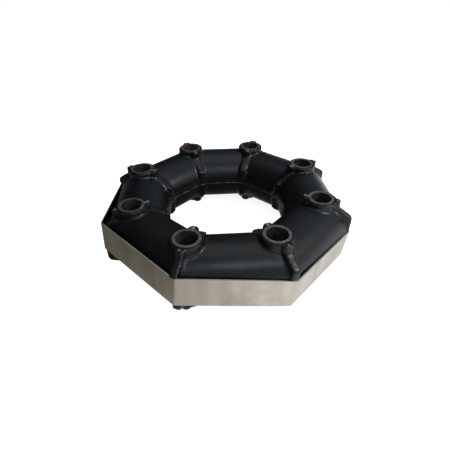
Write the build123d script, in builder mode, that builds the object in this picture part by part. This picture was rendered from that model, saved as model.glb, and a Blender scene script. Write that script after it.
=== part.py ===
"""Flexible rubber coupling element for a shaft drive.

Eight steel sleeves stand on one pitch circle, alternately bolted to the driving
and to the driven flange. An octagonal rubber ring is moulded on to them, and a
thin steel band wrapped round its flats keeps the rubber pressed inwards.
Millimetres, +Z along the shaft, origin on the shaft axis in the plane of the
lower sleeve ends. The flats face +-X, +-Y and the diagonals.
"""
import os
from math import atan, cos, degrees, radians, sin, tan

from build123d import *

# Bolting
bolt_count = 8
pitch_circle_d = 215.0
height = 77.0                # over the sleeve ends
bolt_bore_d = 21.0
sleeve_wall = 3.0
sleeve_proud = 0.4           # of the rubber boss, so that the flange bears on steel

# Rubber tube between the sleeves
tube_r = 32.5
across_flats = 261.6         # over the rubber, inside the band
flat_squeeze = 0.5           # how far the band flattens the round of the tube

# Rubber boss round each sleeve, with a lug inwards and a lug outwards
boss_wall = 2.5
lug_reach = 20.0             # from the sleeve axis
lug_depth = 8.2
lug_w = 10.5
lug_tip = 2.5                # cut off each corner of a lug

# Ribs from the lugs down to the corners of the octagon
rib_w = 8.0
outer_rib_r = 142.5
outer_rib_drop = 18.0        # from the sleeve end to the outer corner of the rib
inner_rib_r = 68.8
inner_rib_drop = 20.8
rib_corner_r = 4.0

# Retaining band, which sits crooked: high on the -X side and low on the +X side
band_wall = 1.3
band_h = 33.3
band_fold_r = 2.0            # inside radius of the folds
band_drop = 1.9              # of its middle below the middle of the rubber
band_tilt = 5.28             # degrees about Y
band_sag = 14.0              # of the two rear left corners below that slope

# Lap seam of the band, on the +X flat
seam_lap = 22.0
joggle = 4.0                 # length over which the outer end steps on to the inner

# Derived
sector = 360 / bolt_count
half_sector = sector / 2
seat_r = pitch_circle_d / 2
middle = height / 2
boss_top = height - sleeve_proud
sleeve_r = bolt_bore_d / 2 + sleeve_wall
boss_r = sleeve_r + boss_wall
flat_r = across_flats / 2
tube_centre_r = flat_r + flat_squeeze - tube_r
tube_outer_r = tube_centre_r + tube_r

os.makedirs("parts", exist_ok=True)

# One station of the rubber, its upper half: two tube ends mitred at the corner,
# the boss and lugs of the sleeve on the X axis, and the plate that forms its ribs.
mid_flat = Plane(
    origin=(0, 0, middle),
    x_dir=(cos(radians(half_sector)), sin(radians(half_sector)), 0),
    z_dir=(sin(radians(half_sector)), -cos(radians(half_sector)), 0),
)

with BuildPart() as station:
    with BuildSketch(mid_flat):
        with Locations((tube_centre_r, 0)):
            Circle(tube_r)
    extrude(amount=2 * tube_outer_r * tan(radians(half_sector)))
    split(bisect_by=Plane.XZ, keep=Keep.BOTTOM)
    split(bisect_by=Plane.XY.offset(middle), keep=Keep.TOP)
    mirror(about=Plane.XZ)

    with BuildSketch(Plane.XZ) as rib_outline:
        with BuildLine():
            Polyline(
                (inner_rib_r, middle),
                (inner_rib_r, height - inner_rib_drop),
                (seat_r - lug_reach, boss_top - lug_depth),
                (seat_r + lug_reach, boss_top - lug_depth),
                (outer_rib_r, height - outer_rib_drop),
                (outer_rib_r, middle),
                close=True,
            )
        make_face()
        rib_corners = rib_outline.vertices().group_by(Axis.Y)[1:-1]
        fillet([corner for group in rib_corners for corner in group], rib_corner_r)
    extrude(amount=rib_w / 2, both=True)

    with BuildSketch(Plane.XY.offset(middle)):
        with Locations((seat_r, 0)):
            Circle(boss_r)
    extrude(amount=boss_top - middle)

    with BuildSketch(Plane.XY.offset(boss_top)):
        with Locations((seat_r, 0)):
            lug_outline = Rectangle(2 * lug_reach, lug_w)
        chamfer(lug_outline.vertices(), lug_tip)
    extrude(amount=-lug_depth)

# The inside of the band, far longer than the band is high
band_plane = Plane(origin=(0, 0, middle - band_drop)).rotated((0, band_tilt, 0))

with BuildPart() as band_inside:
    with BuildSketch(band_plane) as inside_outline:
        RegularPolygon(flat_r, bolt_count, major_radius=False, rotation=half_sector)
        fillet(inside_outline.vertices(), band_fold_r)
    extrude(amount=height, both=True)

# The belt of room that the band has, outwards from the rubber. Beyond the chord
# between two corners the band sags: its edges turn down about that chord.
band_outer_r = flat_r + band_wall
belt_outer_r = max(outer_rib_r, band_outer_r + band_wall) + band_wall
chord_r = band_outer_r / cos(radians(half_sector)) * cos(radians(1.5 * sector))
chord_x = chord_r * cos(radians(3 * sector))
chord_y = chord_r * sin(radians(3 * sector))
sag_angle = degrees(atan(band_sag / (band_outer_r - chord_r)))
sag_hinge = Plane(band_plane.location * Location((chord_x, chord_y, 0), (0, 0, 3 * sector)))
sag_plane = Plane(sag_hinge.location * Location((0, 0, 0), (0, sag_angle, 0)))
chord_plane = Plane(origin=sag_hinge.origin, z_dir=sag_hinge.x_dir)
sag_half_h = band_h / 2 * cos(radians(sag_angle))

with BuildPart() as sagging_belt:
    with BuildSketch(band_plane) as belt_outline:
        RegularPolygon(belt_outer_r, bolt_count, major_radius=False, rotation=half_sector)
    extrude(amount=height, both=True)
    add(band_inside.part, mode=Mode.SUBTRACT)
    split(bisect_by=chord_plane, keep=Keep.TOP)
    split(bisect_by=sag_plane.offset(sag_half_h), keep=Keep.BOTTOM)
    split(bisect_by=sag_plane.offset(-sag_half_h), keep=Keep.TOP)

with BuildPart() as belt:
    add(belt_outline.sketch)
    extrude(amount=band_h / 2, both=True)
    add(band_inside.part, mode=Mode.SUBTRACT)
    split(bisect_by=chord_plane, keep=Keep.BOTTOM)
    add(sagging_belt.part)

# Rubber body
with BuildPart() as rubber_body:
    with PolarLocations(0, bolt_count, start_angle=half_sector):
        add(station.part)
    mirror(about=Plane.XY.offset(middle))
    with BuildSketch():
        with PolarLocations(seat_r, bolt_count, start_angle=half_sector):
            Circle(sleeve_r)
    extrude(amount=height, mode=Mode.SUBTRACT)
    add(belt.part, mode=Mode.SUBTRACT)

rubber_body.part.label = "rubber_body"
export_step(rubber_body.part, "parts/rubber_body.step")

# Sleeves, numbered from the +X side towards +Y
for number in range(bolt_count):
    with BuildPart() as sleeve:
        with BuildSketch():
            with PolarLocations(seat_r, 1, start_angle=half_sector + sector * number):
                Circle(sleeve_r)
                Circle(bolt_bore_d / 2, mode=Mode.SUBTRACT)
        extrude(amount=height)
    sleeve.part.label = f"sleeve_{number + 1}"
    export_step(sleeve.part, f"parts/sleeve_{number + 1}.step")

# Retaining band, with the lap seam
with BuildPart() as retaining_band:
    add(belt.part)
    with BuildSketch(band_plane) as outside_outline:
        RegularPolygon(band_outer_r, bolt_count, major_radius=False, rotation=half_sector)
        fillet(outside_outline.vertices(), band_fold_r + band_wall)
    extrude(amount=height, both=True, mode=Mode.INTERSECT)

    with BuildSketch(band_plane):
        with BuildLine():
            Polyline(
                (band_outer_r - band_wall / 2, -seam_lap / 2),
                (band_outer_r + band_wall, -seam_lap / 2),
                (band_outer_r + band_wall, seam_lap / 2),
                (band_outer_r, seam_lap / 2 + joggle),
                (band_outer_r - band_wall / 2, seam_lap / 2 + joggle),
                close=True,
            )
        make_face()
    extrude(amount=band_h / 2, both=True)

retaining_band.part.label = "retaining_band"
export_step(retaining_band.part, "parts/retaining_band.step")
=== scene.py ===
# Flexible rubber coupling element: an octagonal rubber ring with eight steel bolt
# sleeves moulded in, and one thin steel band wrapped round its flats.
import math

import bmesh
import bpy
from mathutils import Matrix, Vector


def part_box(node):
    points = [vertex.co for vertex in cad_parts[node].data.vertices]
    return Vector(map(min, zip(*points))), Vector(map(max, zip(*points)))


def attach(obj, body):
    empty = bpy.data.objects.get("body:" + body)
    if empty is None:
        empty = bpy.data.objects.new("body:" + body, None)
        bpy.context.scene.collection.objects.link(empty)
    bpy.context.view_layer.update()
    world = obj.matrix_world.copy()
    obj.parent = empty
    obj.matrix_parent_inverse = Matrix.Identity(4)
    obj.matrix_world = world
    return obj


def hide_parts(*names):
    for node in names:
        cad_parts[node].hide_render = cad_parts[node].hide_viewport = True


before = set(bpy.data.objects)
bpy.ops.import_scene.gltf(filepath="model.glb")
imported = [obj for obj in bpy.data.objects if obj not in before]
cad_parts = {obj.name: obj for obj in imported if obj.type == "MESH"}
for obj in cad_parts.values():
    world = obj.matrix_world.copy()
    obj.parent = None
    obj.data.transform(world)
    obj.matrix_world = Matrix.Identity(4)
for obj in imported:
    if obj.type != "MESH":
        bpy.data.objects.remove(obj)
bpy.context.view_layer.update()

# Camera. It stands in front of the coupling and a little to its left, about
# as high above it as a person leaning over a bench.
camera_data = bpy.data.cameras.new("bench_camera")
camera_data.lens = 26.73
camera_data.sensor_width = 36.0
camera_data.clip_start = 0.01
camera = bpy.data.objects.new("bench_camera", camera_data)
camera.location = (-0.0213, -0.3350, 0.2647)
camera.rotation_mode = "XYZ"
camera.rotation_euler = (math.radians(90 - 36.58), math.radians(0.21), math.radians(-3.71))
bpy.context.scene.collection.objects.link(camera)
bpy.context.scene.camera = camera


# Rubber body. The real one is a single compression moulding in black rubber,
# bonded round the sleeves. Its edges and hollows are all softly rounded, and
# its skin is satin, with the faint grain of the mould and a little bloom.
def new_finish(name):
    finish = bpy.data.materials.new(name)
    finish.use_nodes = True
    return finish, finish.node_tree.nodes, finish.node_tree.links, finish.node_tree.nodes["Principled BSDF"]


def grain(nodes, links, vector, scale, detail=4.0, roughness=0.5, stretch=None):
    if stretch:
        mapping = nodes.new("ShaderNodeMapping")
        mapping.inputs["Scale"].default_value = stretch
        links.new(vector, mapping.inputs["Vector"])
        vector = mapping.outputs["Vector"]
    texture = nodes.new("ShaderNodeTexNoise")
    texture.inputs["Scale"].default_value = scale
    texture.inputs["Detail"].default_value = detail
    texture.inputs["Roughness"].default_value = roughness
    links.new(vector, texture.inputs["Vector"])
    return texture.outputs["Fac"]


def blend_range(nodes, links, value, low, high, to_low, to_high):
    mapped = nodes.new("ShaderNodeMapRange")
    mapped.interpolation_type = "SMOOTHSTEP"
    mapped.inputs["From Min"].default_value = low
    mapped.inputs["From Max"].default_value = high
    mapped.inputs["To Min"].default_value = to_low
    mapped.inputs["To Max"].default_value = to_high
    links.new(value, mapped.inputs["Value"])
    return mapped.outputs["Result"]


def blend_colour(nodes, links, factor, first, second):
    mixed = nodes.new("ShaderNodeMix")
    mixed.data_type = "RGBA"
    links.new(factor, mixed.inputs[0])
    for socket, colour in ((mixed.inputs[6], first), (mixed.inputs[7], second)):
        if isinstance(colour, tuple):
            socket.default_value = (*colour, 1)
        else:
            links.new(colour, socket)
    return mixed.outputs[2]


def raise_skin(nodes, links, shader, heights, distance):
    normal = None
    for height, strength in heights:
        bump = nodes.new("ShaderNodeBump")
        bump.inputs["Strength"].default_value = strength
        bump.inputs["Distance"].default_value = distance
        links.new(height, bump.inputs["Height"])
        if normal:
            links.new(normal, bump.inputs["Normal"])
        normal = bump.outputs["Normal"]
    links.new(normal, shader.inputs["Normal"])


skin_voxel = 0.00132
skin_softening = 5
skin_kept = 0.6
rubber_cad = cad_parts["rubber_body"]
rubber_mesh = rubber_cad.data.copy()
merged = bmesh.new()
merged.from_mesh(rubber_mesh)
bmesh.ops.remove_doubles(merged, verts=merged.verts, dist=1e-6)
merged.to_mesh(rubber_mesh)
merged.free()
rubber_body = bpy.data.objects.new("moulded_rubber_body", rubber_mesh)
bpy.context.scene.collection.objects.link(rubber_body)
remesh = rubber_body.modifiers.new("one skin", "REMESH")
remesh.mode = "VOXEL"
remesh.voxel_size = skin_voxel
soften = rubber_body.modifiers.new("soft edges", "SMOOTH")
soften.factor = 0.5
soften.iterations = skin_softening
thin_out = rubber_body.modifiers.new("fewer facets on the flats", "DECIMATE")
thin_out.ratio = skin_kept
bpy.context.view_layer.update()
skin = bpy.data.meshes.new_from_object(rubber_body.evaluated_get(bpy.context.evaluated_depsgraph_get()))
rubber_body.modifiers.clear()
rubber_body.data = skin
skin.shade_smooth()

rubber_finish, nodes, links, shader = new_finish("satin moulded rubber")
place = nodes.new("ShaderNodeTexCoord").outputs["Object"]
bloom = grain(nodes, links, place, 38.0, 5.0, 0.6)
cloud = grain(nodes, links, place, 11.0, 2.0)
clean_black = (0.0024, 0.0028, 0.0036)
bloomed_black = (0.0042, 0.0051, 0.0062)
bloomed = blend_range(nodes, links, bloom, 0.35, 0.72, 0, 1)
links.new(blend_colour(nodes, links, bloomed, clean_black, bloomed_black), shader.inputs["Base Color"])
links.new(blend_range(nodes, links, cloud, 0.3, 0.7, 0.27, 0.35), shader.inputs["Roughness"])
mould_grain = grain(nodes, links, place, 430.0, 4.0, 0.6)
pits = grain(nodes, links, place, 1500.0, 2.0)
waviness = grain(nodes, links, place, 60.0, 2.0)
raise_skin(nodes, links, shader, ((waviness, 0.25), (mould_grain, 0.14), (pits, 0.05)), 0.0008)
skin.materials.clear()
skin.materials.append(rubber_finish)

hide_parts("rubber_body")
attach(rubber_body, "root")


# Mould flash. Where the two halves of the mould met, a thin torn fin of rubber
# is left round the hole, worn away in places. The band hides the outer one.
def new_tree(name, inputs):
    tree = bpy.data.node_groups.new(name, "GeometryNodeTree")
    tree.interface.new_socket("Geometry", in_out="INPUT", socket_type="NodeSocketGeometry")
    for label, kind, value in inputs:
        tree.interface.new_socket(label, in_out="INPUT", socket_type=kind).default_value = value
    tree.interface.new_socket("Geometry", in_out="OUTPUT", socket_type="NodeSocketGeometry")
    return tree, tree.nodes, tree.links, tree.nodes.new("NodeGroupInput").outputs


def close_tree(tree, geometry, finish):
    realize = tree.nodes.new("GeometryNodeRealizeInstances")
    paint = tree.nodes.new("GeometryNodeSetMaterial")
    paint.inputs["Material"].default_value = finish
    tree.links.new(geometry, realize.inputs["Geometry"])
    tree.links.new(realize.outputs["Geometry"], paint.inputs["Geometry"])
    tree.links.new(paint.outputs["Geometry"], tree.nodes.new("NodeGroupOutput").inputs["Geometry"])


def grow(name, seed_mesh, tree, values):
    piece = bpy.data.objects.new(name, seed_mesh)
    bpy.context.scene.collection.objects.link(piece)
    modifier = piece.modifiers.new(tree.name, "NODES")
    modifier.node_group = tree
    for item in tree.interface.items_tree:
        if item.in_out == "INPUT" and item.name in values:
            modifier[item.identifier] = values[item.name]
    bpy.context.view_layer.update()
    grown = bpy.data.meshes.new_from_object(piece.evaluated_get(bpy.context.evaluated_depsgraph_get()))
    piece.modifiers.clear()
    piece.data = grown
    return piece


parting_height = (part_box("rubber_body")[0][2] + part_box("rubber_body")[1][2]) / 2
hole_reach = 0.085
flash_finish, nodes, links, shader = new_finish("torn rubber flash")
place = nodes.new("ShaderNodeTexCoord").outputs["Object"]
dusted = grain(nodes, links, place, 220.0, 3.0)
fresh_tear = (0.012, 0.014, 0.017)
dusty_tear = (0.22, 0.225, 0.23)
dust = blend_range(nodes, links, dusted, 0.4, 0.62, 0, 1)
links.new(blend_colour(nodes, links, dust, fresh_tear, dusty_tear), shader.inputs["Base Color"])
shader.inputs["Roughness"].default_value = 0.6

cut = bmesh.new()
cut.from_mesh(skin)
sliced = bmesh.ops.bisect_plane(
    cut, geom=cut.verts[:] + cut.edges[:] + cut.faces[:], plane_co=(0, 0, parting_height), plane_no=(0, 0, 1)
)["geom_cut"]
parting = [edge for edge in sliced if isinstance(edge, bmesh.types.BMEdge)]
inner_edges = [edge for edge in parting if all(vert.co.xy.length < hole_reach for vert in edge.verts)]
numbers = {}
for edge in inner_edges:
    for vert in edge.verts:
        numbers.setdefault(vert, len(numbers))
parting_line = bpy.data.meshes.new("parting_line")
parting_line.from_pydata(
    [vert.co[:] for vert in numbers], [[numbers[vert] for vert in edge.verts] for edge in inner_edges], []
)
cut.free()

tree, tree_nodes, tree_links, given = new_tree(
    "parting_line_flash",
    (
        ("Reach", "NodeSocketFloat", 0.0009),
        ("Thickness", "NodeSocketFloat", 0.0003),
        ("Step", "NodeSocketFloat", 0.0005),
        ("Worn away", "NodeSocketFloat", 0.45),
        ("Seed", "NodeSocketFloat", 3.0),
    ),
)
line = tree_nodes.new("GeometryNodeMeshToCurve")
tree_links.new(given["Geometry"], line.inputs["Mesh"])
spaced = tree_nodes.new("GeometryNodeResampleCurve")
spaced.mode = "LENGTH"
tree_links.new(line.outputs["Curve"], spaced.inputs["Curve"])
tree_links.new(given["Step"], spaced.inputs["Length"])
upright = tree_nodes.new("GeometryNodeSetCurveNormal")
upright.mode = "Z_UP"
tree_links.new(spaced.outputs["Curve"], upright.inputs["Curve"])
section = tree_nodes.new("GeometryNodeCurvePrimitiveQuadrilateral")
tree_links.new(given["Reach"], section.inputs["Width"])
tree_links.new(given["Thickness"], section.inputs["Height"])
where = tree_nodes.new("GeometryNodeInputPosition")
tear = tree_nodes.new("ShaderNodeTexNoise")
tear.noise_dimensions = "4D"
tear.inputs["Scale"].default_value = 170.0
tear.inputs["Detail"].default_value = 3.0
tree_links.new(where.outputs["Position"], tear.inputs["Vector"])
tree_links.new(given["Seed"], tear.inputs["W"])
uneven = tree_nodes.new("GeometryNodeSetCurveRadius")
spread = tree_nodes.new("ShaderNodeMapRange")
spread.inputs["From Min"].default_value = 0.3
spread.inputs["From Max"].default_value = 0.7
spread.inputs["To Min"].default_value = 0.4
spread.inputs["To Max"].default_value = 1.5
tree_links.new(tear.outputs["Fac"], spread.inputs["Value"])
tree_links.new(upright.outputs["Curve"], uneven.inputs["Curve"])
tree_links.new(spread.outputs["Result"], uneven.inputs["Radius"])
fin = tree_nodes.new("GeometryNodeCurveToMesh")
fin.inputs["Fill Caps"].default_value = True
gap = tree_nodes.new("FunctionNodeCompare")
gap.operation = "LESS_THAN"
tree_links.new(tear.outputs["Fac"], gap.inputs["A"])
tree_links.new(given["Worn away"], gap.inputs["B"])
worn = tree_nodes.new("GeometryNodeDeleteGeometry")
worn.domain = "POINT"
tree_links.new(uneven.outputs["Curve"], worn.inputs["Geometry"])
tree_links.new(gap.outputs["Result"], worn.inputs["Selection"])
tree_links.new(worn.outputs["Geometry"], fin.inputs["Curve"])
tree_links.new(section.outputs["Curve"], fin.inputs["Profile Curve"])
close_tree(tree, fin.outputs["Mesh"], flash_finish)
mould_flash = grow("mould_flash", parting_line, tree, {})
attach(mould_flash, "root")

# Sleeves. Each is a length of thick steel tube, bonded into the rubber. The ends
# are faced on a lathe and left bare, and the bores are dark with mill scale.
sleeve_count = 8
sector = math.tau / sleeve_count
seat_r = 0.1075
bore_r = 0.0105


def around_sleeve(nodes, links, place):
    """Distance from the axis of the nearest sleeve."""
    parts = nodes.new("ShaderNodeSeparateXYZ")
    links.new(place, parts.inputs["Vector"])

    def sum_of(operation, first, second=None):
        step = nodes.new("ShaderNodeMath")
        step.operation = operation
        for socket, value in zip(step.inputs, (first, second)):
            if isinstance(value, (int, float)):
                socket.default_value = value
            elif value is not None:
                links.new(value, socket)
        return step.outputs["Value"]

    angle = sum_of("ARCTAN2", parts.outputs["Y"], parts.outputs["X"])
    turns = sum_of("FLOOR", sum_of("DIVIDE", angle, sector))
    nearest = sum_of("MULTIPLY", sum_of("ADD", turns, 0.5), sector)
    across = sum_of("SUBTRACT", parts.outputs["X"], sum_of("MULTIPLY", sum_of("COSINE", nearest), seat_r))
    along = sum_of("SUBTRACT", parts.outputs["Y"], sum_of("MULTIPLY", sum_of("SINE", nearest), seat_r))
    squares = sum_of("ADD", sum_of("MULTIPLY", across, across), sum_of("MULTIPLY", along, along))
    return sum_of("SQRT", squares)


def steel_of_sleeve(name, bore_dark, bore_light):
    finish, nodes, links, shader = new_finish(name)
    place = nodes.new("ShaderNodeTexCoord").outputs["Object"]
    radius = around_sleeve(nodes, links, place)
    tool_marks = nodes.new("ShaderNodeTexNoise")
    tool_marks.noise_dimensions = "1D"
    tool_marks.inputs["Scale"].default_value = 5200.0
    tool_marks.inputs["Detail"].default_value = 2.0
    links.new(radius, tool_marks.inputs["W"])
    oxide = grain(nodes, links, place, 190.0, 6.0, 0.6)
    oxidised = blend_range(nodes, links, oxide, 0.32, 0.66, 0, 1)
    faced = blend_colour(nodes, links, oxidised, (0.20, 0.20, 0.185), (0.40, 0.40, 0.375))
    scale = grain(nodes, links, place, 130.0, 6.0, 0.65)
    scaled = blend_range(nodes, links, scale, 0.35, 0.68, 0, 1)
    bore = blend_colour(nodes, links, scaled, bore_dark, bore_light)
    in_bore = blend_range(nodes, links, radius, bore_r + 0.00003, bore_r + 0.0003, 1, 0)
    links.new(blend_colour(nodes, links, in_bore, faced, bore), shader.inputs["Base Color"])
    links.new(blend_range(nodes, links, in_bore, 0, 1, 1, 0.25), shader.inputs["Metallic"])
    links.new(blend_range(nodes, links, in_bore, 0, 1, 0.46, 0.72), shader.inputs["Roughness"])
    raise_skin(nodes, links, shader, ((tool_marks.outputs["Fac"], 0.25), (scale, 0.3)), 0.00025)
    return finish


scaled_steel = steel_of_sleeve("faced steel sleeve", (0.010, 0.009, 0.008), (0.040, 0.036, 0.030))
rusty_steel = steel_of_sleeve("rusty steel sleeve", (0.030, 0.014, 0.010), (0.13, 0.052, 0.034))
rusty_sleeve = 3
for number in range(1, sleeve_count + 1):
    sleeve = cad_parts[f"sleeve_{number}"]
    sleeve.data.materials.clear()
    sleeve.data.materials.append(rusty_steel if number == rusty_sleeve else scaled_steel)

# Keys. A short steel bar lies across each lug, ground flush with the sleeve end,
# and stops the sleeve from turning. The outer ones are narrower.
key_w = 0.0032
key_h = 0.0024
key_proud = 0.00025
key_edge = 0.0003
inner_key_reach = (0.0128, 0.0186)
outer_key_reach = (0.0158, 0.0184)
boss_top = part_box("rubber_body")[1][2]

key_finish, nodes, links, shader = new_finish("ground steel key")
shader.inputs["Metallic"].default_value = 1.0
place = nodes.new("ShaderNodeTexCoord").outputs["Object"]
scratches = grain(nodes, links, place, 300.0, 4.0, 0.6)
scratched = blend_range(nodes, links, scratches, 0.35, 0.65, 0, 1)
ground = blend_colour(nodes, links, scratched, (0.30, 0.30, 0.285), (0.62, 0.62, 0.60))
links.new(ground, shader.inputs["Base Color"])
links.new(blend_range(nodes, links, scratches, 0.3, 0.7, 0.36, 0.52), shader.inputs["Roughness"])


def key_bar(name, reach, width):
    mesh = bpy.data.meshes.new(name)
    bar = bmesh.new()
    bmesh.ops.create_cube(bar, size=1.0)
    bmesh.ops.scale(bar, vec=(reach[1] - reach[0], width, key_h), verts=bar.verts)
    bmesh.ops.bevel(bar, geom=bar.edges[:], offset=key_edge, segments=2, affect="EDGES", profile=0.5)
    middle = ((reach[0] + reach[1]) / 2, 0, boss_top + key_proud - key_h / 2)
    bmesh.ops.translate(bar, vec=middle, verts=bar.verts)
    bar.to_mesh(mesh)
    bar.free()
    return mesh


tree, tree_nodes, tree_links, given = new_tree(
    "keys_round_pitch_circle",
    (
        ("Count", "NodeSocketInt", sleeve_count),
        ("Pitch radius", "NodeSocketFloat", seat_r),
        ("First angle", "NodeSocketFloat", sector / 2),
        ("Facing", "NodeSocketFloat", math.pi),
        ("Unevenness", "NodeSocketFloat", 0.06),
        ("Seed", "NodeSocketInt", 5),
    ),
)
ring = tree_nodes.new("GeometryNodePoints")
tree_links.new(given["Count"], ring.inputs["Count"])
index = tree_nodes.new("GeometryNodeInputIndex")


def tree_sum(operation, first, second):
    step = tree_nodes.new("ShaderNodeMath")
    step.operation = operation
    for socket, value in zip(step.inputs, (first, second)):
        if isinstance(value, (int, float)):
            socket.default_value = value
        else:
            tree_links.new(value, socket)
    return step.outputs["Value"]


share = tree_sum("DIVIDE", math.tau, given["Count"])
angle = tree_sum("ADD", tree_sum("MULTIPLY", index.outputs["Index"], share), given["First angle"])
spot = tree_nodes.new("ShaderNodeCombineXYZ")
tree_links.new(tree_sum("MULTIPLY", tree_sum("COSINE", angle, 0.0), given["Pitch radius"]), spot.inputs["X"])
tree_links.new(tree_sum("MULTIPLY", tree_sum("SINE", angle, 0.0), given["Pitch radius"]), spot.inputs["Y"])
tree_links.new(spot.outputs["Vector"], ring.inputs["Position"])
turn = tree_nodes.new("ShaderNodeCombineXYZ")
loose = tree_nodes.new("FunctionNodeRandomValue")
tree_links.new(tree_sum("MULTIPLY", given["Unevenness"], -1.0), loose.inputs[2])
tree_links.new(given["Unevenness"], loose.inputs[3])
tree_links.new(given["Seed"], loose.inputs["Seed"])
heading = tree_sum("ADD", angle, given["Facing"])
tree_links.new(tree_sum("ADD", heading, loose.outputs[1]), turn.inputs["Z"])
placed = tree_nodes.new("GeometryNodeInstanceOnPoints")
tree_links.new(ring.outputs["Geometry"], placed.inputs["Points"])
tree_links.new(given["Geometry"], placed.inputs["Instance"])
tree_links.new(turn.outputs["Vector"], placed.inputs["Rotation"])
close_tree(tree, placed.outputs["Instances"], key_finish)
for name, reach, width, facing in (
    ("inner_keys", inner_key_reach, key_w, math.pi),
    ("outer_keys", outer_key_reach, key_w / 2, 0.0),
):
    keys = grow(name, key_bar(name, reach, width), tree, {"Facing": facing})
    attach(keys, "root")

# Retaining band. One strip of bright rolled steel, folded at the eight corners
# and spot-welded where it laps. Its top edge is painted paler where it faces up,
# a painted highlight, its inner face is painted near-black as painted shade and
# reflection of the rubber, and its faces show the smears of handling.
band_finish, nodes, links, shader = new_finish("bright steel strip")
place = nodes.new("ShaderNodeTexCoord").outputs["Object"]
facing = nodes.new("ShaderNodeNewGeometry").outputs["Normal"]
shader.inputs["Metallic"].default_value = 1.0
rolled = grain(nodes, links, place, 1.0, 3.0, 0.6, stretch=(14, 14, 1500))
streaks = grain(nodes, links, place, 1.0, 2.0, 0.5, stretch=(70, 70, 4))
smears = grain(nodes, links, place, 26.0, 3.0, 0.55)
mottle = grain(nodes, links, place, 90.0, 4.0, 0.6)
streaked = blend_range(nodes, links, streaks, 0.35, 0.65, 0, 1)
strip = blend_colour(nodes, links, streaked, (0.650, 0.595, 0.515), (0.735, 0.695, 0.630))
touched = blend_range(nodes, links, smears, 0.52, 0.66, 0, 0.4)
smeared = blend_colour(nodes, links, touched, strip, (0.520, 0.465, 0.395))
spotted = blend_range(nodes, links, mottle, 0.50, 0.72, 0, 0.15)
mottled = blend_colour(nodes, links, spotted, smeared, (0.600, 0.530, 0.470))
# Painted highlight: faces that point up, the top edge of the strip, get a paler steel colour.
upward = nodes.new("ShaderNodeSeparateXYZ")
links.new(facing, upward.inputs["Vector"])
painted_lip_highlight = blend_range(nodes, links, upward.outputs["Z"], 0.6, 0.9, 0, 1)
lip_highlighted = blend_colour(nodes, links, painted_lip_highlight, mottled, (0.78, 0.76, 0.71))
# Painted shade and reflection: faces that point in towards the rubber get a near-black colour.
flat_place = nodes.new("ShaderNodeVectorMath")
flat_place.operation = "MULTIPLY"
flat_place.inputs[1].default_value = (1, 1, 0)
links.new(place, flat_place.inputs[0])
outward = nodes.new("ShaderNodeVectorMath")
outward.operation = "DOT_PRODUCT"
links.new(flat_place.outputs["Vector"], outward.inputs[0])
links.new(facing, outward.inputs[1])
painted_inner_shade = blend_range(nodes, links, outward.outputs["Value"], -0.06, -0.03, 1, 0)
links.new(blend_colour(nodes, links, painted_inner_shade, lip_highlighted, (0.010, 0.010, 0.011)), shader.inputs["Base Color"])
links.new(blend_range(nodes, links, smears, 0.4, 0.7, 0.36, 0.48), shader.inputs["Roughness"])
raise_skin(nodes, links, shader, ((rolled, 0.05), (streaks, 0.05)), 0.0002)
retaining_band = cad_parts["retaining_band"]
retaining_band.data.materials.clear()
retaining_band.data.materials.append(band_finish)

# Studio floor. A white sweep. Metal sees a painted reflection in it, a glow from
# dim on the left to bright on the right, as beside a window, with a painted shadow
# under the ring.
floor_half = 4.0
floor_corners = [(x * floor_half, y * floor_half, 0) for x, y in ((-1, -1), (1, -1), (1, 1), (-1, 1))]
floor_mesh = bpy.data.meshes.new("studio_floor")
floor_mesh.from_pydata(floor_corners, [], [(0, 1, 2, 3)])
studio_floor = bpy.data.objects.new("studio_floor", floor_mesh)
bpy.context.scene.collection.objects.link(studio_floor)
floor_finish, nodes, links, shader = new_finish("white sweep")
shader.inputs["Base Color"].default_value = (0.9, 0.9, 0.9, 1)
shader.inputs["Roughness"].default_value = 0.9
shader.inputs["Specular IOR Level"].default_value = 0.0
shader.inputs["Emission Color"].default_value = (1, 1, 1, 1)
ray = nodes.new("ShaderNodeLightPath").outputs
lift = nodes.new("ShaderNodeMath")
lift.operation = "MULTIPLY"
lift.inputs[1].default_value = 0.86
links.new(ray["Is Camera Ray"], lift.inputs[0])
links.new(lift.outputs["Value"], shader.inputs["Emission Strength"])
place = nodes.new("ShaderNodeTexCoord").outputs["Object"]
sideways = nodes.new("ShaderNodeSeparateXYZ")
links.new(place, sideways.inputs["Vector"])
grade_at = nodes.new("ShaderNodeMapRange")
grade_at.inputs["From Min"].default_value = -0.20
grade_at.inputs["From Max"].default_value = 0.20
links.new(sideways.outputs["X"], grade_at.inputs["Value"])
grade = nodes.new("ShaderNodeValToRGB")
grade.color_ramp.elements[0].position = 0.10
grade.color_ramp.elements[0].color = (0.13, 0.12, 0.105, 1)
grade.color_ramp.elements[1].position = 0.80
grade.color_ramp.elements[1].color = (0.88, 0.89, 0.90, 1)
for position, colour in (
    (0.27, (0.22, 0.20, 0.18, 1)),
    (0.36, (0.46, 0.44, 0.41, 1)),
    (0.48, (0.60, 0.58, 0.56, 1)),
    (0.58, (0.84, 0.84, 0.83, 1)),
):
    stop = grade.color_ramp.elements.new(position)
    stop.color = colour
links.new(grade_at.outputs["Result"], grade.inputs["Fac"])
# Painted reflection: metal sees the floor glowing, dim on the left and bright on the right as if beside a
# window.
painted_reflection_glow = nodes.new("ShaderNodeEmission")
links.new(grade.outputs["Color"], painted_reflection_glow.inputs["Color"])
from_middle = nodes.new("ShaderNodeVectorMath")
from_middle.operation = "LENGTH"
links.new(place, from_middle.inputs[0])
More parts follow.
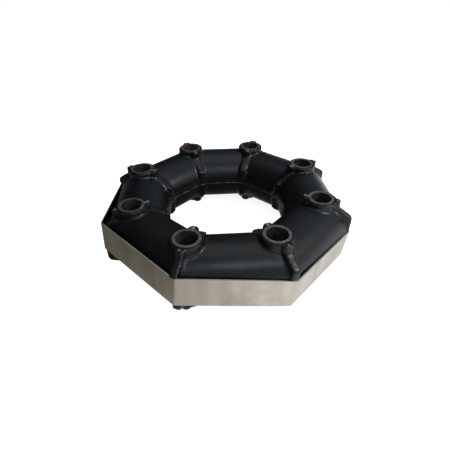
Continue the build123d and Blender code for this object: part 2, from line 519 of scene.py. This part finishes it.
# Painted shadow: the glow is dimmed under and round the ring.
in_shade = blend_range(nodes, links, from_middle.outputs["Value"], 0.06, 0.14, 0.12, 1.0)
links.new(in_shade, painted_reflection_glow.inputs["Strength"])
mirrored = nodes.new("ShaderNodeMath")
mirrored.operation = "MAXIMUM"
links.new(ray["Is Glossy Ray"], mirrored.inputs[0])
links.new(ray["Is Transmission Ray"], mirrored.inputs[1])
chosen = nodes.new("ShaderNodeMixShader")
links.new(mirrored.outputs["Value"], chosen.inputs["Fac"])
links.new(shader.outputs["BSDF"], chosen.inputs[1])
links.new(painted_reflection_glow.outputs["Emission"], chosen.inputs[2])
links.new(chosen.outputs["Shader"], nodes["Material Output"].inputs["Surface"])
floor_mesh.materials.append(floor_finish)

# Studio surround. White to the eye, dim on the left and behind and bright on
# the right and in front to the gloss of the rubber.
world = bpy.data.worlds.new("studio")
bpy.context.scene.world = world
world.use_nodes = True
nodes = world.node_tree.nodes
links = world.node_tree.links
surround = nodes["Background"]
ray = nodes.new("ShaderNodeLightPath").outputs
towards = nodes.new("ShaderNodeVectorMath")
towards.operation = "DOT_PRODUCT"
towards.inputs[1].default_value = Vector((0.75, -0.45, 0.35)).normalized()
links.new(nodes.new("ShaderNodeTexCoord").outputs["Generated"], towards.inputs[0])
room = nodes.new("ShaderNodeMapRange")
room.inputs["From Min"].default_value = -0.45
room.inputs["From Max"].default_value = 0.80
room.inputs["To Min"].default_value = 0.02
room.inputs["To Max"].default_value = 0.42
links.new(towards.outputs["Value"], room.inputs["Value"])


def pick(choice, otherwise, chosen):
    mixed = nodes.new("ShaderNodeMix")
    mixed.data_type = "FLOAT"
    links.new(choice, mixed.inputs[0])
    for socket, value in ((mixed.inputs[2], otherwise), (mixed.inputs[3], chosen)):
        if isinstance(value, float):
            socket.default_value = value
        else:
            links.new(value, socket)
    return mixed.outputs[0]


mirrored = nodes.new("ShaderNodeMath")
mirrored.operation = "MAXIMUM"
links.new(ray["Is Glossy Ray"], mirrored.inputs[0])
links.new(ray["Is Transmission Ray"], mirrored.inputs[1])
level = pick(ray["Is Camera Ray"], pick(mirrored.outputs["Value"], 0.55, room.outputs["Result"]), 1.0)
links.new(level, surround.inputs["Strength"])
tint = nodes.new("ShaderNodeMix")
tint.data_type = "RGBA"
links.new(ray["Is Camera Ray"], tint.inputs[0])
tint.inputs[6].default_value = (0.84, 0.96, 1.0, 1)
tint.inputs[7].default_value = (1, 1, 1, 1)
links.new(tint.outputs[2], surround.inputs["Color"])

# Lamps. A window on the right draws the bright lines along the hollows, a weak
# lamp in front lights the rounds of the tube, and a broad one hangs above.
lamp_target = (0, 0, 0.04)
for name, place_at, size, power, colour in (
    ("window", (1.00, -0.47, 0.85), 0.34, 6.5, (1.0, 1.0, 1.0)),
    ("front", (0.16, -0.84, 0.84), 0.22, 0.9, (0.88, 0.96, 1.0)),
    ("above", (0.10, 0.15, 1.25), 1.0, 1.5, (0.9, 0.97, 1.0)),
):
    lamp_data = bpy.data.lights.new(name, "AREA")
    lamp_data.size = size
    lamp_data.energy = power
    lamp_data.color = colour
    lamp = bpy.data.objects.new(name, lamp_data)
    lamp.location = place_at
    aim = Vector(lamp_target) - Vector(place_at)
    lamp.rotation_euler = aim.to_track_quat("-Z", "Y").to_euler()
    bpy.context.scene.collection.objects.link(lamp)

bpy.context.scene.view_settings.view_transform = "Standard"
